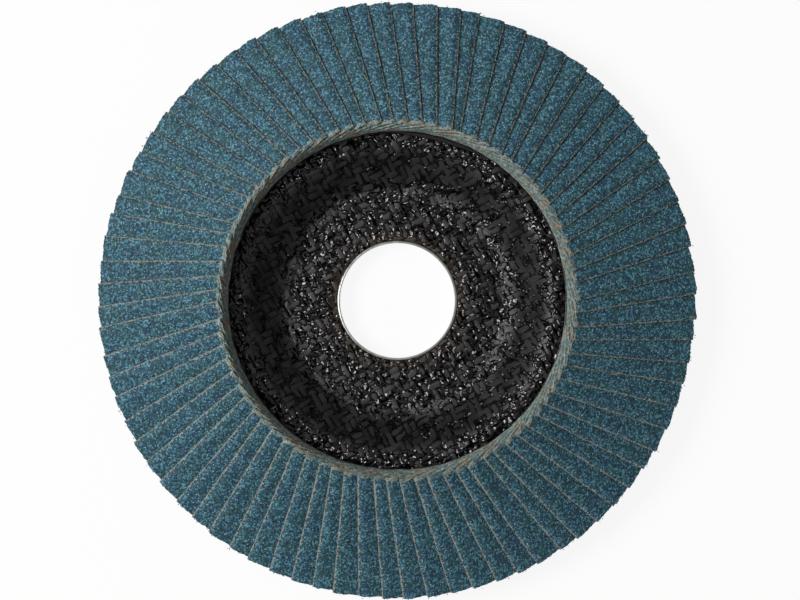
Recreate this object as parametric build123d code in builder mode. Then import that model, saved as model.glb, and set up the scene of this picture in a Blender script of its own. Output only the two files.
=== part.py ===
from build123d import *
from math import asin, atan2, cos, degrees, hypot, radians, sin, sqrt, tan
import os

# Conical flap disc for an angle grinder. The origin is the centre of the bore on the hub's back
# face, where the grinder's flange clamps. +Z points to the abrasive side. Lengths are millimetres.

# Driving dimensions: the whole disc
disc_diameter = 115.0
bore_diameter = 22.23
cone_angle = 12.5  # degrees that the flange and the flaps fall towards the rim

# Driving dimensions: the glass-fibre backing plate
plate_diameter = 107.0
hub_thickness = 3.0
flange_thickness = 2.0
hub_face_diameter = 43.0  # flat nut seat at the bottom of the dish
dish_depth = 6.0  # from the nut seat up to the crest
dish_angle = 35.0  # slope of the dish's wall
dish_wall = 2.2
bend_radius = 3.2  # the moulded bends on the face, and the foot bend on the back
rim_radius = 0.6

# Driving dimensions: the sheet-metal arbor ring
collar_wall = 0.5
ring_thickness = 0.5
ring_diameter = 33.0
collar_proud = 0.1  # how far the rolled collar stands above the nut seat
collar_round = 0.3  # the rolled lip's outer edge
ring_fit = 0.0  # the plate is moulded round the ring

# Driving dimensions: the flaps
flap_count = 80
flaps_per_node = 2  # neighbouring flaps that share one named node
flap_length = 24.5
flap_width = 15.0
flap_thickness = 0.65
flap_clearance = 0.03  # daylight between neighbours where they lie closest
flap_offset = 0.2  # how far clockwise of the axis each strip's centre line passes

# Driving dimensions: the adhesive bead
bead_height = 0.9  # above the flange
root_depth = 0.5  # how deep the flaps' roots sit in the bead
bead_inner_margin = 0.45  # bead that shows inside the flaps' inner ends
bead_outer_margin = 1.1  # bare flange outside the bead
slot_margin = 1.3  # how far the slots' cutter stands out of the bead, as a share of the depth
bead_flank = 0.3  # how far the bead's edges slope in from its foot to its top

# Worked out from the driving dimensions
disc_radius = disc_diameter / 2
bore_radius = bore_diameter / 2
plate_radius = plate_diameter / 2
collar_radius = bore_radius + collar_wall
hub_face_radius = hub_face_diameter / 2
dish_slope = tan(radians(dish_angle))
cone_slope = tan(radians(cone_angle))
crest_radius = hub_face_radius + dish_depth / dish_slope
crest_height = hub_thickness + dish_depth
pitch_angle = 360 / flap_count


def flange_top(radius):
    """Height of the flange's face, which falls towards the rim."""
    return crest_height - (radius - crest_radius) * cone_slope


def flange_back(radius):
    return flange_top(radius) - flange_thickness / cos(radians(cone_angle))


def flap_tilt(distance):
    """Tilt at which neighbours keep the clearance, at this distance from the axis.

    Turned by one pitch about the axis, a flap moves away from itself by the pitch times
    (distance x sin tilt - half width x sin cone), so the fan has to be steeper near the hub.
    """
    lift = (flap_thickness + flap_clearance) / radians(pitch_angle)
    droop = flap_width / 2 * sin(radians(cone_angle))
    return degrees(asin(lift / hypot(distance, droop)) + atan2(droop, distance))


def flap_section(tilt):
    """Half extents of the tilted end section: across the disc, and up to its top corner."""
    half_width, half_thickness = flap_width / 2, flap_thickness / 2
    across = half_width * cos(radians(tilt)) - half_thickness * sin(radians(tilt))
    upward = half_width * sin(radians(tilt)) + half_thickness * cos(radians(tilt))
    return across, upward


def root_height(distance, across):
    """Height of a flap's root edge, which sits in the bead above the flange."""
    return flange_top(hypot(distance, across)) + bead_height - root_depth


# Each flap is a straight strip of cloth whose top corner reaches the disc's diameter and whose root
# edge follows the flange. It twists, because its outer end leans less than its inner end. Reach,
# tilt and slope depend on each other, and settle in a few passes.
slope = cone_angle
outer_root = disc_radius
inner_root = disc_radius - flap_length
for _ in range(12):
    lean, run = sin(radians(slope)), cos(radians(slope))
    outer_tilt, inner_tilt = flap_tilt(outer_root), flap_tilt(inner_root)
    outer_across, outer_up = flap_section(outer_tilt)
    inner_across, inner_up = flap_section(inner_tilt)
    outer_x = sqrt(disc_radius**2 - (outer_across + flap_offset) ** 2) - outer_up * lean
    inner_x = outer_x - flap_length * run
    outer_root = outer_x - outer_up * lean
    inner_root = inner_x - inner_up * lean
    outer_z = root_height(outer_root, outer_across - flap_offset) + outer_up * run
    inner_z = root_height(inner_root, inner_across - flap_offset) + inner_up * run
    slope = degrees(atan2(inner_z - outer_z, outer_x - inner_x))

strip_axis = (outer_x - inner_x, 0, outer_z - inner_z)
inner_end = (inner_x, -flap_offset, inner_z)
outer_end = (outer_x, -flap_offset, outer_z)
inner_plane = Plane(origin=inner_end, x_dir=(0, 1, 0), z_dir=strip_axis)
outer_plane = Plane(origin=outer_end, x_dir=(0, 1, 0), z_dir=strip_axis)

# The bead reaches a little inside the flaps' inner ends and stops short of the plate's rim
bead_inner = hypot(inner_root, inner_across - flap_offset) - bead_inner_margin
bead_outer = plate_radius - bead_outer_margin

os.makedirs("parts", exist_ok=True)

# Backing plate: woven glass cloth pressed in black resin, dished so that the nut sits below the
# flaps. The hub is thicker than the flange, and its back is let in for the arbor ring.
back_foot = hub_face_radius + dish_wall / sin(radians(dish_angle)) - hub_thickness / dish_slope
back_crest = (back_foot + flange_back(0) / dish_slope) / (1 + cone_slope / dish_slope)
hole_radius = collar_radius + ring_fit
recess_radius = ring_diameter / 2 + ring_fit
plate_corners = {
    (hole_radius, hub_thickness): 0,
    (hub_face_radius, hub_thickness): bend_radius,
    (crest_radius, crest_height): bend_radius,
    (plate_radius, flange_top(plate_radius)): rim_radius,
    (plate_radius, flange_back(plate_radius)): rim_radius,
    (back_crest, flange_back(back_crest)): bend_radius,
    (back_foot, 0): bend_radius,
    (recess_radius, 0): 0,
    (recess_radius, ring_thickness + ring_fit): 0,
    (hole_radius, ring_thickness + ring_fit): 0,
}
with BuildPart() as backing_plate:
    with BuildSketch(Plane.XZ):
        with BuildLine():
            FilletPolyline(*plate_corners, radius=list(plate_corners.values()), close=True)
        make_face()
    revolve(axis=Axis.Z)
backing_plate.part.label = "backing_plate"
export_step(backing_plate.part, "parts/backing_plate.step")

# Arbor ring: pressed sheet metal. Its washer lies flush in the hub's back, and its collar lines
# the bore and is rolled over just above the nut seat.
ring_corners = {
    (bore_radius, 0): 0,
    (ring_diameter / 2, 0): 0,
    (ring_diameter / 2, ring_thickness): 0,
    (collar_radius, ring_thickness): 0,
    (collar_radius, hub_thickness + collar_proud): collar_round,
    (bore_radius, hub_thickness + collar_proud): 0,
}
with BuildPart() as arbor_ring:
    with BuildSketch(Plane.XZ):
        with BuildLine():
            FilletPolyline(*ring_corners, radius=list(ring_corners.values()), close=True)
        make_face()
    revolve(axis=Axis.Z)
arbor_ring.part.label = "arbor_ring"
export_step(arbor_ring.part, "parts/arbor_ring.step")


def cloth_strip(width, shift=0.0):
    """A twisted strip lofted between the tilted ends, shifted across the flap towards its root."""
    with BuildPart() as strip:
        for end, tilt in ((inner_plane, inner_tilt), (outer_plane, outer_tilt)):
            with BuildSketch(end):
                with Locations(Location((0, 0, 0), (0, 0, -tilt))):
                    with Locations((shift, 0)):
                        Rectangle(width, flap_thickness)
        loft(ruled=True)
    return strip.part


# One flap: a rectangle of abrasive cloth. The part of it that stands in the bead cuts the slots.
flap = cloth_strip(flap_width)
slot_width = slot_margin * root_depth / sin(radians(outer_tilt))
root_strip = cloth_strip(slot_width, (flap_width - slot_width) / 2)

# Adhesive bead: cured resin on the flange, with a slot for the root of every flap
bead_corners = (
    (bead_inner, flange_top(bead_inner)),
    (bead_outer, flange_top(bead_outer)),
    (bead_outer - bead_flank, flange_top(bead_outer - bead_flank) + bead_height),
    (bead_inner + bead_flank, flange_top(bead_inner + bead_flank) + bead_height),
)
with BuildPart() as adhesive_bead:
    with BuildSketch(Plane.XZ):
        with BuildLine():
            Polyline(*bead_corners, close=True)
        make_face()
    revolve(axis=Axis.Z)
    with PolarLocations(0, flap_count):
        add(root_strip, mode=Mode.SUBTRACT)
adhesive_bead.part.label = "adhesive_bead"
export_step(adhesive_bead.part, "parts/adhesive_bead.step")

# The flap pack: each flap lies on its clockwise neighbour, all the way round. Neighbours share
# a node, as separate solids.
for first in range(0, flap_count, flaps_per_node):
    count = min(flaps_per_node, flap_count - first)
    with BuildPart() as flap_group:
        with PolarLocations(0, count, first * pitch_angle, count * pitch_angle):
            add(flap)
    flap_group.part.label = f"flap_pair_{first // flaps_per_node + 1:02d}"
    export_step(flap_group.part, f"parts/{flap_group.part.label}.step")

print(f"tilt {inner_tilt:.2f} to {outer_tilt:.2f}, strip slope {slope:.2f} degrees")
print(f"root from {inner_root:.2f} to {outer_root:.2f}, bead from {bead_inner:.2f} to {bead_outer:.2f}")
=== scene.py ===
import math
import random

import bmesh
import bpy
from mathutils import Matrix, Vector, noise


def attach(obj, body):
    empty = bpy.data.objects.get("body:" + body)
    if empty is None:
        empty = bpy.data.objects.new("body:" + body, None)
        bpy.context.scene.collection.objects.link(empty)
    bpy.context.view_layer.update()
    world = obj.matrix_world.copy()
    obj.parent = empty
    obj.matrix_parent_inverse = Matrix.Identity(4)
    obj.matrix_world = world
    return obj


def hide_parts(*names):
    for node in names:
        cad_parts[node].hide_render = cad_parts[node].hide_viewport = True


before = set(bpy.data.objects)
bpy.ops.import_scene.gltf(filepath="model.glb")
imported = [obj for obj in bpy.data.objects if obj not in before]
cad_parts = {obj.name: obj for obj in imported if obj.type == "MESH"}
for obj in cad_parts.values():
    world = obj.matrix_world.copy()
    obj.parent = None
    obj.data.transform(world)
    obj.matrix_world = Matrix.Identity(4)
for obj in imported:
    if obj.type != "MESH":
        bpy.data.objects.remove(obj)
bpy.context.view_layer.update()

# ---------------------------------------------------------------------------------------------
# Backing plate. Glass cloth soaked in black phenolic resin, pressed hot in a mould into a dished
# plate with a falling flange, so the tows of the cloth stand in relief under a thin gloss skin.
# ---------------------------------------------------------------------------------------------
MM = 0.001
BORE_WALL_RADIUS = 11.615
HUB_FACE_RADIUS = 21.5
HUB_HEIGHT = 3.0
HUB_CROWN = 0.35  # the hub's face falls by this towards the dish
HUB_CROWN_RADIUS = 14.0
DISH_DEPTH = 6.0
DISH_SLOPE = math.tan(math.radians(35))
DISH_WALL = 2.2
CONE_SLOPE = math.tan(math.radians(12.5))
FLANGE_THICKNESS = 2.0
PLATE_RADIUS = 53.5
WASHER_RADIUS = 16.5
WASHER_THICKNESS = 0.5
BEND_RADIUS = 3.2
RIM_BEND = 0.6
PLATE_STEPS = 320
CREST_RADIUS = HUB_FACE_RADIUS + DISH_DEPTH / DISH_SLOPE
CREST_HEIGHT = HUB_HEIGHT + DISH_DEPTH
FLAP_COVER_RADIUS = 32.6  # the plate's face is hidden outside this

TOW_PITCH = 1.27  # spacing of the glass tows, both ways
TOW_ANGLE = math.radians(29)
WEFT_HALF_WIDTH = 0.48  # share of the pitch
WARP_HALF_WIDTH = 0.42
TOW_RELIEF = 0.17
CLOTH_WANDER = 0.45  # how far the tows stray from straight, in pitches


def linear(hex_colour):
    """Linear RGBA of an sRGB hex colour."""
    parts = [int(hex_colour[i:i + 2], 16) / 255 for i in (1, 3, 5)]
    return [c / 12.92 if c <= 0.04045 else ((c + 0.055) / 1.055) ** 2.4 for c in parts] + [1.0]


def add_node(tree, kind, settings, output=0):
    """Adds a node and gives one of its outputs. Lower-case settings are options, the rest inputs."""
    node = tree.nodes.new("ShaderNode" + kind)
    for name, value in settings.items():
        if isinstance(name, str) and name[0].islower():
            setattr(node, name, value)
        elif isinstance(value, bpy.types.NodeSocket):
            tree.links.new(value, node.inputs[name])
        else:
            node.inputs[name].default_value = value
    return node.outputs[output] if node.outputs else None


def start_material(name):
    """A new material with an empty node tree."""
    material = bpy.data.materials.new(name)
    material.use_nodes = True
    material.node_tree.nodes.clear()
    return material, material.node_tree


def cloth_place(x, y):
    """Where a point of the plan lies on the glass cloth, in tow pitches."""
    wander = noise.noise_vector(Vector((x / 9, y / 9, 3.7))) * CLOTH_WANDER
    wander += noise.noise_vector(Vector((x / 2.6, y / 2.6, 8.1))) * 0.16
    u = (x * math.cos(TOW_ANGLE) + y * math.sin(TOW_ANGLE)) / TOW_PITCH + wander.x
    v = (y * math.cos(TOW_ANGLE) - x * math.sin(TOW_ANGLE)) / TOW_PITCH + wander.y
    return u, v


def tow_height(u, v):
    """Height of the basket weave, in which pairs of tows pass over pairs: 0 in gaps, 1 on crowns."""
    highest = 0.0
    for along, across, phase, half_width in ((u, v, 0.0, WEFT_HALF_WIDTH), (v, u, math.pi, WARP_HALF_WIDTH)):
        tow = round(across)
        side = (across - tow) / half_width
        if abs(side) < 1:
            wave = math.cos(math.pi * (along / 2 - 0.25 + tow // 2) + phase)
            fullness = 1 + 0.4 * noise.noise(Vector((along * 0.6, tow * 5.3, phase)))
            highest = max(highest, (1 - side**4) * max(0, min(1, 0.55 + 0.65 * wave)) * fullness)
    return min(highest / 0.85, 1)


def pressed_flat(radius):
    """How open the weave is left: half closed on the dish's wall, most open on the crest."""
    middle = (HUB_FACE_RADIUS + CREST_RADIUS) / 2
    crest = min(1, max(0, radius - CREST_RADIUS + 1.2))
    return 1 - 0.5 * math.exp(-((radius - middle) / 3.0) ** 4) + 0.15 * crest


def plate_profile(bm):
    """Half section of the plate as a closed wire in the plane of x and z, its bends rounded."""
    rim_face = CREST_HEIGHT - (PLATE_RADIUS - CREST_RADIUS) * CONE_SLOPE
    drop = FLANGE_THICKNESS / math.cos(math.atan(CONE_SLOPE))
    wall_drop = DISH_WALL / math.cos(math.atan(DISH_SLOPE))
    foot_radius = HUB_FACE_RADIUS - (HUB_HEIGHT - wall_drop) / DISH_SLOPE
    back_crest = (CREST_HEIGHT - drop + CREST_RADIUS * CONE_SLOPE + foot_radius * DISH_SLOPE)
    back_crest /= DISH_SLOPE + CONE_SLOPE
    corners = [
        (BORE_WALL_RADIUS, HUB_HEIGHT, 0.25), (HUB_CROWN_RADIUS, HUB_HEIGHT, 0),
        (HUB_FACE_RADIUS - HUB_CROWN / DISH_SLOPE, HUB_HEIGHT - HUB_CROWN, BEND_RADIUS),
        (CREST_RADIUS, CREST_HEIGHT, BEND_RADIUS), (PLATE_RADIUS, rim_face, RIM_BEND),
        (PLATE_RADIUS, rim_face - drop, RIM_BEND), (back_crest, (back_crest - foot_radius) * DISH_SLOPE, 1.2),
        (foot_radius, 0, BEND_RADIUS), (WASHER_RADIUS, 0, 0),
        (WASHER_RADIUS, WASHER_THICKNESS, 0), (BORE_WALL_RADIUS, WASHER_THICKNESS, 0),
    ]
    verts = [bm.verts.new((radius * MM, 0, height * MM)) for radius, height, _ in corners]
    for here, there in zip(verts, verts[1:] + verts[:1]):
        bm.edges.new((here, there))
    for vert, (_, _, bend) in zip(verts, corners):
        if bend:
            arms = [e.other_vert(vert).co - vert.co for e in vert.link_edges]
            turn = math.pi - arms[0].angle(arms[1])
            bmesh.ops.bevel(bm, geom=[vert], offset=bend * math.tan(turn / 2) * MM, segments=5,
                            profile=0.5, affect="VERTICES", material=-1)


def on_face(place):
    """Whether a place of the half section, in mm, is on the abrasive side."""
    if place.x < HUB_FACE_RADIUS:
        return place.z > HUB_HEIGHT - HUB_CROWN - 0.3
    rise = min((place.x - HUB_FACE_RADIUS) * DISH_SLOPE, DISH_DEPTH - (place.x - CREST_RADIUS) * CONE_SLOPE)
    return place.z > HUB_HEIGHT + rise - 0.9


def finish_mesh(name, bm, materials):
    """Turns a bmesh into a piece that rides the disc and takes the slot's finish."""
    mesh = bpy.data.meshes.new(name)
    bm.to_mesh(mesh)
    bm.free()
    for material in materials:
        mesh.materials.append(material)
    piece = bpy.data.objects.new(name, mesh)
    bpy.context.collection.objects.link(piece)
    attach(piece, "root")
    return piece


def pressed_glass_phenolic():
    """Glass cloth pressed in black phenolic: dull flat crowns, and between them wet-looking resin
    full of small glints. The dish's wall is rubbed matt by the mould."""
    material, tree = start_material("pressed_glass_phenolic")
    cloth = add_node(tree, "UVMap", {"uv_map": "cloth"})
    split = add_node(tree, "SeparateXYZ", {0: cloth}).node.outputs
    place = add_node(tree, "TexCoord", {}, "Object")
    pressed = add_node(tree, "Attribute", {"attribute_name": "relief"}, "Fac")
    heights = []
    for along, across, phase, half_width in ((0, 1, 0.0, WEFT_HALF_WIDTH), (1, 0, math.pi, WARP_HALF_WIDTH)):
        tow = add_node(tree, "Math", {"operation": "ROUND", 0: split[across]})
        side = add_node(tree, "Math", {"operation": "SUBTRACT", 0: split[across], 1: tow})
        side = add_node(tree, "Math", {"operation": "MULTIPLY", 0: side, 1: side})
        side = add_node(tree, "Math", {"operation": "MULTIPLY", 0: side, 1: side})
        dome = add_node(tree, "Math", {"operation": "MULTIPLY_ADD", "use_clamp": True, 0: side,
                                       1: -half_width**-4, 2: 1.0})
        pair = add_node(tree, "Math", {"operation": "MULTIPLY", 0: tow, 1: 0.5})
        pair = add_node(tree, "Math", {"operation": "FLOOR", 0: pair})
        turn = add_node(tree, "Math", {"operation": "MULTIPLY_ADD", 0: split[along], 1: 0.5, 2: pair})
        turn = add_node(tree, "Math", {"operation": "MULTIPLY_ADD", 0: turn, 1: math.pi, 2: phase - math.pi / 4})
        wave = add_node(tree, "Math", {"operation": "COSINE", 0: turn})
        wave = add_node(tree, "Math", {"operation": "MULTIPLY_ADD", "use_clamp": True, 0: wave, 1: 0.65, 2: 0.55})
        heights.append(add_node(tree, "Math", {"operation": "MULTIPLY", 0: dome, 1: wave}))
    height = add_node(tree, "Math", {"operation": "MAXIMUM", 0: heights[0], 1: heights[1]})
    warp_on_top = add_node(tree, "Math", {"operation": "GREATER_THAN", 0: heights[0], 1: heights[1]})
    # Filaments of 0.01 mm are too fine to show, so they are drawn as bundles of about 0.2 mm.
    fibres = []
    for stretch in ((1.0, 7.0, 1.0), (7.0, 1.0, 1.0)):
        scaled = add_node(tree, "Mapping", {0: cloth, "Scale": stretch})
        fibres.append(add_node(tree, "TexNoise", {"Vector": scaled, "Scale": 1.0, "Detail": 2.0}))
    fibre = add_node(tree, "Mix", {"data_type": "FLOAT", 0: warp_on_top, 2: fibres[1], 3: fibres[0]})
    # The flat crowns differ in size, and the open weave between them is flooded with resin.
    scaled = add_node(tree, "Mapping", {0: cloth, "Scale": (0.6, 0.6, 1.0)})
    fullness = add_node(tree, "TexNoise", {"Vector": scaled, "Scale": 1.0, "Detail": 2.0})
    level = add_node(tree, "Math", {"operation": "MULTIPLY_ADD", 0: fullness, 1: 3.0, 2: height})
    flood = add_node(tree, "MapRange", {0: pressed, 1: 0.5, 2: 1.15, 3: 2.02, 4: 2.48})
    level = add_node(tree, "Math", {"operation": "SUBTRACT", 0: level, 1: flood})
    crown = add_node(tree, "MapRange", {"interpolation_type": "SMOOTHSTEP", 0: level, 1: 0.05, 2: 0.13})
    # Painted shade: a thin line just below each crown's edge.
    crown_edge_shade = add_node(tree, "MapRange", {"interpolation_type": "SMOOTHSTEP", 0: level, 1: -0.14, 2: -0.02})
    crown_edge_shade = add_node(tree, "Math", {"operation": "SUBTRACT", "use_clamp": True, 0: crown_edge_shade, 1: crown})
    # Beads and runs of resin about 1.3 mm across.
    beads = add_node(tree, "TexNoise", {"Vector": place, "Scale": 1 / 0.0013, "Detail": 1.0})
    # Painted shade: the pits and the line round each crown are coloured near-black, where shade falls in the weave.
    pit_shade = add_node(tree, "MapRange", {"interpolation_type": "SMOOTHSTEP", 0: level, 1: -0.55, 2: -0.80})
    pit_shade = add_node(tree, "Math", {"operation": "MAXIMUM", 0: pit_shade, 1: crown_edge_shade})
    streaks = add_node(tree, "MapRange", {"interpolation_type": "SMOOTHSTEP", 0: fibre, 1: 0.3, 2: 0.7})
    radius = add_node(tree, "VectorMath", {"operation": "MULTIPLY", 0: place, 1: (1, 1, 0)})
    radius = add_node(tree, "VectorMath", {"operation": "LENGTH", 0: radius}, 1)
    scorched = add_node(tree, "MapRange", {"interpolation_type": "SMOOTHSTEP", 0: radius, 1: 0.0145, 2: 0.0122,
                                           3: 0.0, 4: 0.8})
    patches = add_node(tree, "TexNoise", {"Vector": place, "Scale": 1 / 0.004, "Detail": 3.0, "Roughness": 0.6})
    worn = add_node(tree, "MapRange", {"interpolation_type": "SMOOTHSTEP", 0: patches, 1: 0.40, 2: 0.60})
    colour = add_node(tree, "Mix", {"data_type": "RGBA", 0: worn, 6: linear("#19191a"), 7: linear("#2d2d2f")}, 2)
    darker = add_node(tree, "Math", {"operation": "MULTIPLY", 0: streaks, 1: 0.5})
    colour = add_node(tree, "Mix", {"data_type": "RGBA", 0: darker, 6: colour, 7: linear("#111112")}, 2)
    colour = add_node(tree, "Mix", {"data_type": "RGBA", 0: crown, 6: linear("#0f0e0f"), 7: colour}, 2)
    # The hub's edge is painted a lighter, matt grey in patches of about 4 mm, in a ring round the bend into the
    # dish.
    from_edge = add_node(tree, "MapRange", {0: radius, 1: 0.0182, 2: 0.0214, 3: -0.32, 4: 0.10})
    past_edge = add_node(tree, "MapRange", {0: radius, 1: 0.0216, 2: 0.0232, 3: 0.0, 4: -0.42})
    grey_ring = add_node(tree, "Math", {"operation": "ADD", 0: patches, 1: from_edge})
    grey_ring = add_node(tree, "Math", {"operation": "ADD", 0: grey_ring, 1: past_edge})
    grey_ring = add_node(tree, "MapRange", {"interpolation_type": "SMOOTHSTEP", 0: grey_ring, 1: 0.52, 2: 0.60, 3: 0.0, 4: 0.75})
    colour = add_node(tree, "Mix", {"data_type": "RGBA", 0: grey_ring, 6: colour, 7: linear("#4b4a4b")}, 2)
    colour = add_node(tree, "Mix", {"data_type": "RGBA", 0: scorched, 6: colour, 7: linear("#2b2319")}, 2)
    # Near-black painted shade in the pits and round the crowns.
    colour = add_node(tree, "Mix", {"data_type": "RGBA", 0: pit_shade, 6: colour, 7: linear("#020202")}, 2)
    dry = add_node(tree, "MapRange", {0: pressed, 1: 0.5, 2: 1.0, 3: 0.8, 4: 0.55})
    rough = add_node(tree, "Mix", {"data_type": "FLOAT", 0: crown, 2: 0.20, 3: dry})
    rough = add_node(tree, "Mix", {"data_type": "FLOAT", 0: grey_ring, 2: rough, 3: 0.7})
    # The specular tint is painted shade in the pits, so that no light comes back out of them, and it is low on the
    # crowns that the mould rubbed matt.
    matt = add_node(tree, "MapRange", {0: pressed, 1: 0.9, 2: 0.55})
    matt_and_pit_shade = add_node(tree, "Mix", {"data_type": "RGBA", 0: matt, 6: linear("#fffafa"), 7: linear("#949494")}, 2)
    matt_and_pit_shade = add_node(tree, "Mix", {"data_type": "RGBA", 0: pit_shade, 6: matt_and_pit_shade, 7: linear("#383838")}, 2)
    low = add_node(tree, "Math", {"operation": "SUBTRACT", 0: 1.0, 1: crown})
    lumps = add_node(tree, "Math", {"operation": "MULTIPLY", 0: beads, 1: low})
    relief = add_node(tree, "Math", {"operation": "MULTIPLY", 0: crown, 1: 0.35})
    relief = add_node(tree, "Math", {"operation": "MULTIPLY_ADD", 0: lumps, 1: 10.0, 2: relief})
    relief = add_node(tree, "Math", {"operation": "MULTIPLY_ADD", 0: fibre, 1: 0.25, 2: relief})
    bump = add_node(tree, "Bump", {"Strength": 1.0, "Distance": 0.00012, "Height": relief})
    shader = add_node(tree, "BsdfPrincipled", {"Base Color": colour, "Roughness": rough, "IOR": 1.6,
                                               "Specular Tint": matt_and_pit_shade, "Normal": bump})
    add_node(tree, "OutputMaterial", {0: shader})
    return material


bm = bmesh.new()
plate_profile(bm)
for edge in list(bm.edges):
    middle = (edge.verts[0].co + edge.verts[1].co) / 2 / MM
    spacing = 0.9
    if on_face(middle):
        spacing = 2.4 if middle.x > FLAP_COVER_RADIUS else 0.38
    cuts = int(edge.calc_length() / MM / spacing)
    if cuts:
        bmesh.ops.subdivide_edges(bm, edges=[edge], cuts=cuts)
bmesh.ops.spin(bm, geom=bm.verts[:] + bm.edges[:], cent=(0, 0, 0), axis=(0, 0, 1), angle=math.tau,
               steps=PLATE_STEPS, use_merge=True, use_duplicate=False)
bmesh.ops.remove_doubles(bm, verts=bm.verts[:], dist=1e-7)
seen_edges = set()
for face in bm.faces:
    middle = face.calc_center_median() / MM
    section_place = Vector((math.hypot(middle.x, middle.y), 0, middle.z))
    if section_place.x < FLAP_COVER_RADIUS and on_face(section_place):
        seen_edges.update(face.edges)
bmesh.ops.subdivide_edges(bm, edges=list(seen_edges), cuts=1, use_grid_fill=True)
bmesh.ops.recalc_face_normals(bm, faces=bm.faces[:])
cloth_layer = bm.loops.layers.uv.new("cloth")
relief_layer = bm.verts.layers.float.new("relief")
bm.normal_update()
places = {}
for vert in bm.verts:
    x, y = vert.co.x / MM, vert.co.y / MM
    radius = math.hypot(x, y)
    places[vert] = cloth_place(x, y)
    vert[relief_layer] = pressed_flat(radius)
    level = 0.62 if vert.normal.z > 0 else 1.1  # the back's weave only goes inwards
    near_bore = min(1, max(0, (radius - BORE_WALL_RADIUS) / 0.8))
    height = (tow_height(*places[vert]) - level) * TOW_RELIEF * vert[relief_layer] * near_bore
    vert.co += vert.normal * height * MM
for face in bm.faces:
    face.smooth = True
    for loop in face.loops:
        loop[cloth_layer].uv = places[loop.vert]
plate = finish_mesh("pressed_plate", bm, [pressed_glass_phenolic()])
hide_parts("backing_plate")

# ---------------------------------------------------------------------------------------------
# Arbor ring. A zinc-plated sheet steel washer whose collar is rolled through the bore, so that the
# plate is clamped on metal and the spindle's spigot has a true hole to sit in.
# ---------------------------------------------------------------------------------------------


def zinc_plated_steel():
    """Zinc-plated pressed steel: bright, a little milky, with fine marks round the rolled lip."""
    material, tree = start_material("zinc_plated_pressed_steel")
    place = add_node(tree, "TexCoord", {}, "Object")
    spangle = add_node(tree, "TexNoise", {"Vector": place, "Scale": 1 / 0.0015, "Detail": 3.0})
    colour = add_node(tree, "Mix", {"data_type": "RGBA", 0: spangle, 6: linear("#a9a9a4"), 7: linear("#cfcfca")}, 2)
    rough = add_node(tree, "MapRange", {0: spangle, 1: 0.3, 2: 0.7, 3: 0.28, 4: 0.45})
    bump = add_node(tree, "Bump", {"Strength": 0.3, "Distance": 0.00005, "Height": spangle})
    shader = add_node(tree, "BsdfPrincipled", {"Base Color": colour, "Metallic": 1.0, "Roughness": rough,
                                               "Normal": bump})
    add_node(tree, "OutputMaterial", {0: shader})
    return material


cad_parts["arbor_ring"].data.materials.clear()
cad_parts["arbor_ring"].data.materials.append(zinc_plated_steel())

# ---------------------------------------------------------------------------------------------
# Adhesive bead. Epoxy laid on the flange as a ring and cured in an oven with the flaps' roots set
# in it. It runs out in front of the roots as a glossy black lip of uneven width.
# ---------------------------------------------------------------------------------------------
LIP_RADIUS = 32.35
LIP_HEIGHT = 8.75
LIP_STEPS = 420


def cured_epoxy():
    """Cured black epoxy: smooth and glossy, with faint orange peel."""
    material, tree = start_material("cured_black_epoxy")
    place = add_node(tree, "TexCoord", {}, "Object")
    peel = add_node(tree, "TexNoise", {"Vector": place, "Scale": 1 / 0.0012, "Detail": 2.0})
    colour = add_node(tree, "Mix", {"data_type": "RGBA", 0: peel, 6: linear("#0b0b0c"), 7: linear("#1c1a1b")}, 2)
    rough = add_node(tree, "MapRange", {0: peel, 1: 0.3, 2: 0.7, 3: 0.16, 4: 0.3})
    bump = add_node(tree, "Bump", {"Strength": 0.4, "Distance": 0.0001, "Height": peel})
    shader = add_node(tree, "BsdfPrincipled", {"Base Color": colour, "Roughness": rough, "IOR": 1.55,
                                               "Normal": bump})
    add_node(tree, "OutputMaterial", {0: shader})
    return material


epoxy = cured_epoxy()
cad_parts["adhesive_bead"].data.materials.clear()
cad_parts["adhesive_bead"].data.materials.append(epoxy)

bm = bmesh.new()
bmesh.ops.create_circle(bm, segments=10, radius=MM, matrix=Matrix.Rotation(math.pi / 2, 4, "X"))
bmesh.ops.translate(bm, verts=bm.verts[:], vec=(LIP_RADIUS * MM, 0, LIP_HEIGHT * MM))
bmesh.ops.spin(bm, geom=bm.verts[:] + bm.edges[:], cent=(0, 0, 0), axis=(0, 0, 1), angle=math.tau,
               steps=LIP_STEPS, use_merge=True, use_duplicate=False)
bmesh.ops.remove_doubles(bm, verts=bm.verts[:], dist=1e-7)
for vert in bm.verts:
    way = Vector((vert.co.x, vert.co.y, 0)).normalized()
    uneven = noise.noise(way * 9) * 0.5 + noise.noise(way * 31) * 0.35
    swell = math.exp(-((math.degrees(math.atan2(way.y, way.x)) - 75) / 14) ** 4)
    half_width = 0.12 + 0.08 * uneven + 0.55 * swell
    from_middle = Vector((vert.co.x, vert.co.y, 0)).length / MM - LIP_RADIUS
    rise = vert.co.z / MM - LIP_HEIGHT
    vert.co = way * (LIP_RADIUS - 0.5 * half_width + from_middle * half_width) * MM
    vert.co.z = (LIP_HEIGHT + rise * (0.10 + 0.5 * half_width)) * MM
for face in bm.faces:
    face.smooth = True
bmesh.ops.recalc_face_normals(bm, faces=bm.faces[:])
finish_mesh("epoxy_lip", bm, [epoxy])

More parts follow.
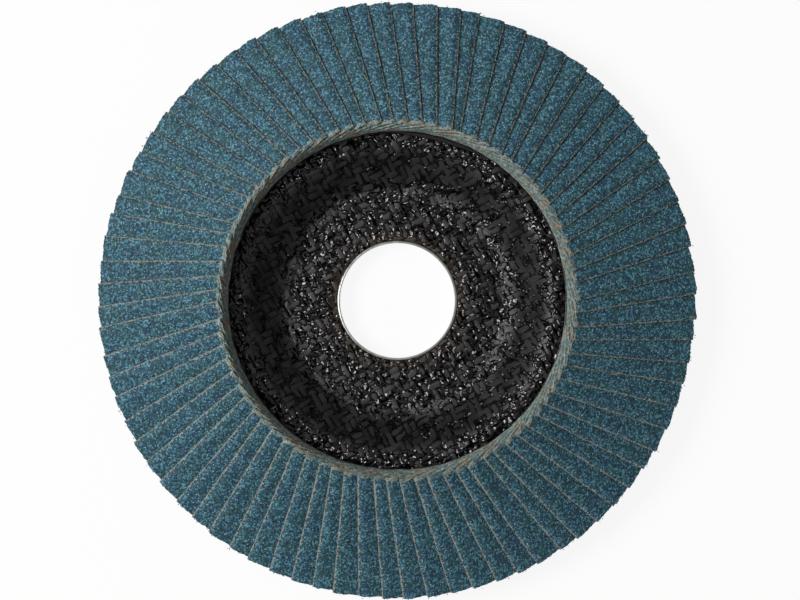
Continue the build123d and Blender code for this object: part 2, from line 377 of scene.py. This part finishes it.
# ---------------------------------------------------------------------------------------------
# Flaps. Strips of polycotton cloth with blue zirconia grit bonded to one face, slit from a web and
# fanned round the flange, each lying on the next with its clockwise edge exposed.
# ---------------------------------------------------------------------------------------------
FLAP_COUNT = 80
FLAP_LENGTH = 24.5
FLAP_WIDTH = 15.0
FLAP_THICKNESS = 0.65
FLAP_OFFSET = 0.2
RIM_RADIUS = 57.0
RIM_SLIDE = 0.12  # the trimmed ends stand out by this, for the same mean radius
STRIP_SLOPE = math.radians(14.691)
INNER_CENTRE = (32.8794, 11.3657)
INNER_TILT = math.radians(18.4642)
OUTER_TILT = math.radians(10.5223)
EDGE_CRUSH = 0.60  # the exposed edge is pressed down by this, over the width below
CRUSH_WIDTH = 1.5
SEAT_DROP = 0.33  # the cloth swells down by this at its exposed edge, to lie on the strip below
SEAT_WIDTH = 14.0  # over which the swelling dies away
END_TRIM = 0.4  # share by which the outer ends are trimmed from straight to round
GRIT_SIZE = 0.32
BARE_ROOT = 0.30  # the grit is broken off the strip's inner end for about this far
ROOT_FRAY = 0.35  # the inner end's threads reach in by this
EXPOSED_WIDTH = 6.0
EXPOSED_COLUMNS = 17
HIDDEN_COLUMNS = 5
FLAP_ROWS = 54

out_axis = Vector((math.cos(STRIP_SLOPE), 0, -math.sin(STRIP_SLOPE)))
lift_axis = Vector((math.sin(STRIP_SLOPE), 0, math.cos(STRIP_SLOPE)))
side_axis = Vector((0, 1, 0))
root_centre = Vector((INNER_CENTRE[0], -FLAP_OFFSET, INNER_CENTRE[1]))


def strip_point(along, across, lift):
    """A point of the twisted strip: along from its inner end, across and lift from its middle, mm."""
    place = Vector((0, 0, 0))
    for share, tilt, centre in (
            (1 - along / FLAP_LENGTH, INNER_TILT, root_centre),
            (along / FLAP_LENGTH, OUTER_TILT, root_centre + out_axis * FLAP_LENGTH)):
        turned = side_axis * (across * math.cos(tilt) + lift * math.sin(tilt))
        turned += lift_axis * (lift * math.cos(tilt) - across * math.sin(tilt))
        place += (centre + turned) * share
    return place


def frayed_polycotton(tree, place):
    """Colour of torn and sized cloth: grey-green lint with tan and pale threads 0.3 mm thick."""
    threads = add_node(tree, "TexNoise", {"Vector": place, "Scale": 1 / 0.0006, "Detail": 4.0, "Roughness": 0.7})
    broad = add_node(tree, "TexNoise", {"Vector": place, "Scale": 1 / 0.0022, "Detail": 2.0})
    light = add_node(tree, "MapRange", {"interpolation_type": "SMOOTHSTEP", 0: threads, 1: 0.40, 2: 0.62})
    tan = add_node(tree, "MapRange", {"interpolation_type": "SMOOTHSTEP", 0: broad, 1: 0.50, 2: 0.62})
    colour = add_node(tree, "Mix", {"data_type": "RGBA", 0: light, 6: linear("#536462"), 7: linear("#939f98")}, 2)
    tanned = add_node(tree, "Mix", {"data_type": "RGBA", 0: light, 6: linear("#675f50"), 7: linear("#9b9482")}, 2)
    colour = add_node(tree, "Mix", {"data_type": "RGBA", 0: tan, 6: colour, 7: tanned}, 2)
    return colour, threads


def grit_cloth():
    """Zirconia grit in a blue size coat: matt blue-green grains, painted glints on some of them, and painted shade
    between them.
    """
    material, tree = start_material("zirconia_grit_blue_size")
    place = add_node(tree, "TexCoord", {}, "Object")
    grains = add_node(tree, "TexVoronoi", {"Vector": place, "Scale": 1 / (GRIT_SIZE * MM)}).node.outputs
    grain = add_node(tree, "SeparateColor", {0: grains["Color"]}).node.outputs
    fine = add_node(tree, "TexNoise", {"Vector": place, "Scale": 1 / 0.0004, "Detail": 3.0, "Roughness": 0.65})
    broad = add_node(tree, "TexNoise", {"Vector": place, "Scale": 1 / 0.003, "Detail": 3.0})
    hue = add_node(tree, "MapRange", {"interpolation_type": "SMOOTHSTEP", 0: broad, 1: 0.40, 2: 0.60})
    colour = add_node(tree, "Mix", {"data_type": "RGBA", 0: hue, 6: linear("#144358"), 7: linear("#1a484f")}, 2)
    light = add_node(tree, "MapRange", {"interpolation_type": "SMOOTHSTEP", 0: grain[0], 1: 0.45, 2: 0.95,
                                        3: 0.0, 4: 0.95})
    colour = add_node(tree, "Mix", {"data_type": "RGBA", 0: light, 6: colour, 7: linear("#4e8496")}, 2)
    # Painted shade: dark specks between the grains, where shade falls among them.
    shade_between_grains = add_node(tree, "MapRange", {"interpolation_type": "SMOOTHSTEP", 0: fine, 1: 0.54, 2: 0.38,
                                          3: 0.0, 4: 0.85})
    colour = add_node(tree, "Mix", {"data_type": "RGBA", 0: shade_between_grains, 6: colour, 7: linear("#061621")}, 2)
    # Painted glints: pale specks in the middle of some grains.
    painted_glint = add_node(tree, "MapRange", {"interpolation_type": "SMOOTHSTEP", 0: grain[1], 1: 0.83, 2: 0.92})
    core = add_node(tree, "MapRange", {"interpolation_type": "SMOOTHSTEP", 0: grains["Distance"], 1: 0.42, 2: 0.22})
    painted_glint = add_node(tree, "Math", {"operation": "MULTIPLY", 0: painted_glint, 1: core})
    colour = add_node(tree, "Mix", {"data_type": "RGBA", 0: painted_glint, 6: colour, 7: linear("#8fb2ba")}, 2)
    # The knife breaks grit off the cut edge, and handling off the inner end, and the cloth shows.
    lint, threads = frayed_polycotton(tree, place)
    edge = add_node(tree, "Attribute", {"attribute_name": "from_edge"}, "Fac")
    wear = add_node(tree, "Math", {"operation": "MULTIPLY_ADD", 0: fine, 1: 1.2, 2: -0.50})
    worn = add_node(tree, "Math", {"operation": "SUBTRACT", 0: edge, 1: wear})
    worn = add_node(tree, "MapRange", {"interpolation_type": "SMOOTHSTEP", 0: worn, 1: 0.06, 2: -0.04,
                                       3: 0.0, 4: 0.9})
    colour = add_node(tree, "Mix", {"data_type": "RGBA", 0: worn, 6: colour, 7: linear("#8d877a")}, 2)
    root = add_node(tree, "Attribute", {"attribute_name": "from_root"}, "Fac")
    root = add_node(tree, "Math", {"operation": "MULTIPLY_ADD", 0: threads, 1: -1.2, 2: root})
    bare = add_node(tree, "MapRange", {"interpolation_type": "SMOOTHSTEP", 0: root, 1: BARE_ROOT - 0.45,
                                       2: BARE_ROOT - 0.75})
    colour = add_node(tree, "Mix", {"data_type": "RGBA", 0: bare, 6: colour, 7: lint}, 2)
    height = add_node(tree, "Math", {"operation": "MULTIPLY_ADD", 0: grains["Distance"], 1: -0.6, 2: fine})
    bump = add_node(tree, "Bump", {"Strength": 0.8, "Distance": 0.00020, "Height": height})
    rough = add_node(tree, "MapRange", {0: grain[2], 1: 0.0, 2: 1.0, 3: 0.6, 4: 0.85})
    shader = add_node(tree, "BsdfPrincipled", {"Base Color": colour, "Roughness": rough, "IOR": 1.5,
                                               "Normal": bump})
    add_node(tree, "OutputMaterial", {0: shader})
    return material


def cut_cloth():
    """Cut edge and back of the cloth: dull sized polycotton, fuzzy with broken threads."""
    material, tree = start_material("cut_polycotton_cloth")
    place = add_node(tree, "TexCoord", {}, "Object")
    lint, threads = frayed_polycotton(tree, place)
    ply = add_node(tree, "Attribute", {"attribute_name": "ply"}, "Fac")
    level = add_node(tree, "Math", {"operation": "MULTIPLY_ADD", 0: threads, 1: 0.5, 2: ply})
    top = add_node(tree, "MapRange", {"interpolation_type": "SMOOTHSTEP", 0: level, 1: 1.00, 2: 1.15})
    root = add_node(tree, "Attribute", {"attribute_name": "from_root"}, "Fac")
    side = add_node(tree, "MapRange", {0: root, 1: 0.3, 2: 1.2})
    colour = add_node(tree, "Mix", {"data_type": "RGBA", 0: side, 6: lint, 7: linear("#877e69")}, 2)
    colour = add_node(tree, "Mix", {"data_type": "RGBA", 0: top, 6: colour, 7: linear("#33525a")}, 2)
    bump = add_node(tree, "Bump", {"Strength": 0.8, "Distance": 0.0002, "Height": threads})
    shader = add_node(tree, "BsdfPrincipled", {"Base Color": colour, "Roughness": 0.9, "Normal": bump})
    add_node(tree, "OutputMaterial", {0: shader})
    return material


def add_flap(bm, number, dice):
    """Lays one strip: a sheet of small squares is given its thickness and put in its place."""
    before = set(bm.verts)
    columns = EXPOSED_COLUMNS + HIDDEN_COLUMNS
    bmesh.ops.create_grid(bm, x_segments=columns, y_segments=FLAP_ROWS, size=1)
    sheet = [vert for vert in bm.verts if vert not in before]
    for vert in sheet:
        column = round((vert.co.x + 1) / 2 * columns)
        row = round((vert.co.y + 1) / 2 * FLAP_ROWS)
        if column <= EXPOSED_COLUMNS:
            vert[edge_layer] = (column / EXPOSED_COLUMNS) ** 1.5 * EXPOSED_WIDTH
        else:
            rest = (column - EXPOSED_COLUMNS) / HIDDEN_COLUMNS
            vert[edge_layer] = EXPOSED_WIDTH + rest * (FLAP_WIDTH - EXPOSED_WIDTH)
        vert[row_layer] = row * FLAP_LENGTH / FLAP_ROWS
        vert[ply_layer] = 1
    faces = [face for face in bm.faces if face.verts[0] not in before]
    bmesh.ops.solidify(bm, geom=faces, thickness=0.1)
    grit_side = set(sheet)
    shift = dice.gauss(0, 0.19)
    skew = dice.gauss(0, 0.006)
    slide = dice.gauss(0, 0.08)
    turn = Matrix.Rotation(math.radians(number * 360 / FLAP_COUNT), 3, "Z")
    seed = number * 17.3
    for vert in bm.verts:
        if vert in before:
            continue
        from_edge, along = vert[edge_layer], vert[row_layer]
        top = vert in grit_side
        vert[ply_layer] = 1 if top else 0
        fringe = noise.noise(Vector((along / 0.9, seed, 0))) * 0.12 + noise.noise(Vector((along / 0.35, seed, 5))) * 0.09
        if not top:
            fringe = 0.02 + noise.noise(Vector((along / 0.5, seed, 9))) * 0.14
        near_edge = max(0, 1 - from_edge / CRUSH_WIDTH)
        exposed = max(0, min(1, (5.0 - from_edge) / 1.0))
        across = from_edge - FLAP_WIDTH / 2 + fringe * near_edge + (shift + skew * (along - 12)) * exposed
        at_root = max(0, 1 - along / 0.45)
        at_rim = max(0, 1 - (FLAP_LENGTH - along) / 0.9)
        ragged = noise.noise(Vector((from_edge / 0.4, seed, 20 if top else 30))) * 0.22 * (at_root + at_rim)
        ragged -= ROOT_FRAY * at_root + END_TRIM * across**2 / (2 * RIM_RADIUS) * at_rim
        lift = -FLAP_THICKNESS / 2 - SEAT_DROP * max(0, 1 - from_edge / SEAT_WIDTH)
        if top:
            lift = FLAP_THICKNESS / 2 - EDGE_CRUSH * near_edge**2
        far_end = along / FLAP_LENGTH
        vert.co = turn @ strip_point(along + ragged + (slide + RIM_SLIDE) * far_end, across, lift) * MM
    for face in bm.faces:
        if face.verts[0] in before:
            continue
        face.smooth = False
        on_grit = all(vert in grit_side for vert in face.verts)
        face.material_index = 0 if on_grit else 1


grit = grit_cloth()
cloth = cut_cloth()
dice = random.Random(80)
for pair in range(FLAP_COUNT // 2):
    bm = bmesh.new()
    edge_layer = bm.verts.layers.float.new("from_edge")
    row_layer = bm.verts.layers.float.new("from_root")
    ply_layer = bm.verts.layers.float.new("ply")
    for number in (2 * pair, 2 * pair + 1):
        add_flap(bm, number, dice)
    bmesh.ops.recalc_face_normals(bm, faces=bm.faces[:])
    piece = finish_mesh(f"grit_flaps_{pair + 1:02d}", bm, [grit, cloth])
    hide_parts(f"flap_pair_{pair + 1:02d}")

# ---------------------------------------------------------------------------------------------
# Frayed threads. Cutting the strips tears short ends of yarn out of the polycotton. Most lie as lint
# over the strips' inner ends, and a few stand off the exposed edges and the rim.
# ---------------------------------------------------------------------------------------------
THREAD_RADIUS = 0.05
THREADS_AT_ROOT = 14  # on each strip
THREADS_ON_EDGE = 5


def loose_polycotton():
    """Torn cotton and polyester yarn: matt, fuzzy, off-white, tan, or blue where it took the size."""
    material, tree = start_material("torn_polycotton_yarn")
    place = add_node(tree, "TexCoord", {}, "Object")
    dye = add_node(tree, "TexNoise", {"Vector": place, "Scale": 1 / 0.0016, "Detail": 2.0})
    pale = add_node(tree, "MapRange", {"interpolation_type": "SMOOTHSTEP", 0: dye, 1: 0.42, 2: 0.50})
    tan = add_node(tree, "MapRange", {"interpolation_type": "SMOOTHSTEP", 0: dye, 1: 0.56, 2: 0.62})
    colour = add_node(tree, "Mix", {"data_type": "RGBA", 0: pale, 6: linear("#587277"), 7: linear("#98a39b")}, 2)
    colour = add_node(tree, "Mix", {"data_type": "RGBA", 0: tan, 6: colour, 7: linear("#9a8f79")}, 2)
    shader = add_node(tree, "BsdfPrincipled", {"Base Color": colour, "Roughness": 0.95})
    add_node(tree, "OutputMaterial", {0: shader})
    return material


dice = random.Random(8)
yarn = bpy.data.curves.new("yarn", "CURVE")
yarn.dimensions = "3D"
yarn.bevel_depth = THREAD_RADIUS * MM
yarn.bevel_resolution = 0
yarn.resolution_u = 2
for number in range(FLAP_COUNT):
    turn = Matrix.Rotation(math.radians(number * 360 / FLAP_COUNT), 3, "Z")
    for count in range(THREADS_AT_ROOT + THREADS_ON_EDGE):
        if count < THREADS_AT_ROOT:
            from_edge, along = dice.uniform(-0.2, 2.4), dice.uniform(-0.55, 0.12)
            reach = max(-0.25 - from_edge, dice.choice((-1, 1)) * dice.uniform(0.5, 1.6))
            drift, arch = dice.gauss(0, 0.15), 0.10
        else:
            from_edge, along = dice.uniform(-0.05, 0.15), dice.uniform(0.5, FLAP_LENGTH)
            reach, drift, arch = dice.gauss(-0.1, 0.12), dice.gauss(0, 0.6), 0.05
        spline = yarn.splines.new("NURBS")
        spline.points.add(3)
        for step, point in enumerate(spline.points):
            share = step / 3
            wave = dice.gauss(0, 0.05)
            across = from_edge - FLAP_WIDTH / 2 + reach * share + wave
            crush = EDGE_CRUSH * max(0, 1 - max(0, across + FLAP_WIDTH / 2) / CRUSH_WIDTH) ** 2
            lift = FLAP_THICKNESS / 2 + THREAD_RADIUS + arch * math.sin(math.pi * share) - 0.6 * crush
            point.co = (turn @ strip_point(along + drift * share - wave, across, lift) * MM).to_4d()
        spline.order_u = 3
        spline.use_endpoint_u = True
shown = bpy.data.objects.new("yarn", yarn)
bm = bmesh.new()
bm.from_mesh(bpy.data.meshes.new_from_object(shown))
bpy.data.objects.remove(shown)
for face in bm.faces:
    face.smooth = True
finish_mesh("frayed_threads", bm, [loose_polycotton()])

# ---------------------------------------------------------------------------------------------
# Loose grit. Grains of zirconia that the knife broke out cling to threads at the strips' outer ends.
# ---------------------------------------------------------------------------------------------
GRAINS = 260

dice = random.Random(5)
bm = bmesh.new()
for _ in range(GRAINS):
    turn = Matrix.Rotation(math.radians(dice.randrange(FLAP_COUNT) * 360 / FLAP_COUNT), 3, "Z")
    across = dice.uniform(0, 4.4) - FLAP_WIDTH / 2
    along = FLAP_LENGTH + 0.15 + abs(dice.gauss(0, 0.16)) - END_TRIM * across**2 / (2 * RIM_RADIUS)
    spot = turn @ strip_point(along, across, dice.uniform(-0.2, 0.25)) * MM
    squash = Matrix.Diagonal((dice.uniform(0.6, 1.2), dice.uniform(0.6, 1.2), dice.uniform(0.6, 1.2), 1))
    roll = Matrix.Rotation(dice.uniform(0, math.tau), 4, "Z")
    bmesh.ops.create_icosphere(bm, subdivisions=1, radius=dice.uniform(0.07, 0.15) * MM,
                               matrix=Matrix.Translation(spot) @ roll @ squash)
finish_mesh("loose_grit", bm, [grit])

# ---------------------------------------------------------------------------------------------
# Floor, lamps and camera.
# ---------------------------------------------------------------------------------------------
VIEW_WIDTH = 0.15361  # metres across the picture at the rim
LENS = 135.0
SENSOR = 36.0
FLOOR_DROP = 0.00005  # keeps the floor from lying in the arbor ring's face
RIM_HEIGHT = 0.006
KEY_AZIMUTH = math.radians(174)
KEY_ELEVATION = math.radians(45)
KEY_DISTANCE = 0.9
KEY_SIZE = 0.5
KEY_LEVEL = 0.78  # share of a plain light level that the key gives a level surface
SKY_LEVEL = 0.28


def white_stage():
    """Matt white floor that the camera sees as white, with what is left of the disc's shadow."""
    material, tree = start_material("white_floor")
    rays = add_node(tree, "LightPath", {}).node.outputs
    seen = add_node(tree, "Math", {"operation": "MAXIMUM", 0: rays["Is Camera Ray"], 1: rays["Is Glossy Ray"]})
    seen = add_node(tree, "Math", {"operation": "MAXIMUM", 0: seen, 1: rays["Is Transmission Ray"]})
    share = add_node(tree, "Math", {"operation": "MULTIPLY", 0: seen, 1: 0.9})
    white = add_node(tree, "Emission", {"Color": (1, 1, 1, 1), "Strength": 1.0})
    matt = add_node(tree, "BsdfDiffuse", {"Color": linear("#e6e6e6")})
    mix = add_node(tree, "MixShader", {0: share, 1: matt, 2: white})
    add_node(tree, "OutputMaterial", {0: mix})
    return material


bm = bmesh.new()
bmesh.ops.create_grid(bm, x_segments=1, y_segments=1, size=3.0)
mesh = bpy.data.meshes.new("floor")
bm.to_mesh(mesh)
bm.free()
mesh.materials.append(white_stage())
mesh.transform(Matrix.Translation((0, 0, -FLOOR_DROP)))
floor = bpy.data.objects.new("floor", mesh)
bpy.context.collection.objects.link(floor)

world = bpy.data.worlds.new("studio")
world.use_nodes = True
world.node_tree.nodes["Background"].inputs[0].default_value = (1, 1, 1, 1)
world.node_tree.nodes["Background"].inputs[1].default_value = SKY_LEVEL
bpy.context.scene.world = world

key_data = bpy.data.lights.new("key", "AREA")
key_data.shape = "DISK"
key_data.size = KEY_SIZE
key_data.energy = KEY_LEVEL * (math.pi * KEY_DISTANCE) ** 2 / math.sin(KEY_ELEVATION)
key = bpy.data.objects.new("key", key_data)
key.location = Vector((math.cos(KEY_AZIMUTH) * math.cos(KEY_ELEVATION),
                       math.sin(KEY_AZIMUTH) * math.cos(KEY_ELEVATION), math.sin(KEY_ELEVATION))) * KEY_DISTANCE
key.rotation_euler = (-key.location).to_track_quat("-Z", "Y").to_euler()
bpy.context.collection.objects.link(key)

camera_data = bpy.data.cameras.new("camera")
camera_data.lens = LENS
camera_data.sensor_width = SENSOR
camera = bpy.data.objects.new("camera", camera_data)
camera.location = (0.0005, 0.0001, VIEW_WIDTH * LENS / SENSOR + RIM_HEIGHT)
bpy.context.collection.objects.link(camera)
bpy.context.scene.camera = camera
bpy.context.scene.view_settings.view_transform = "Standard"
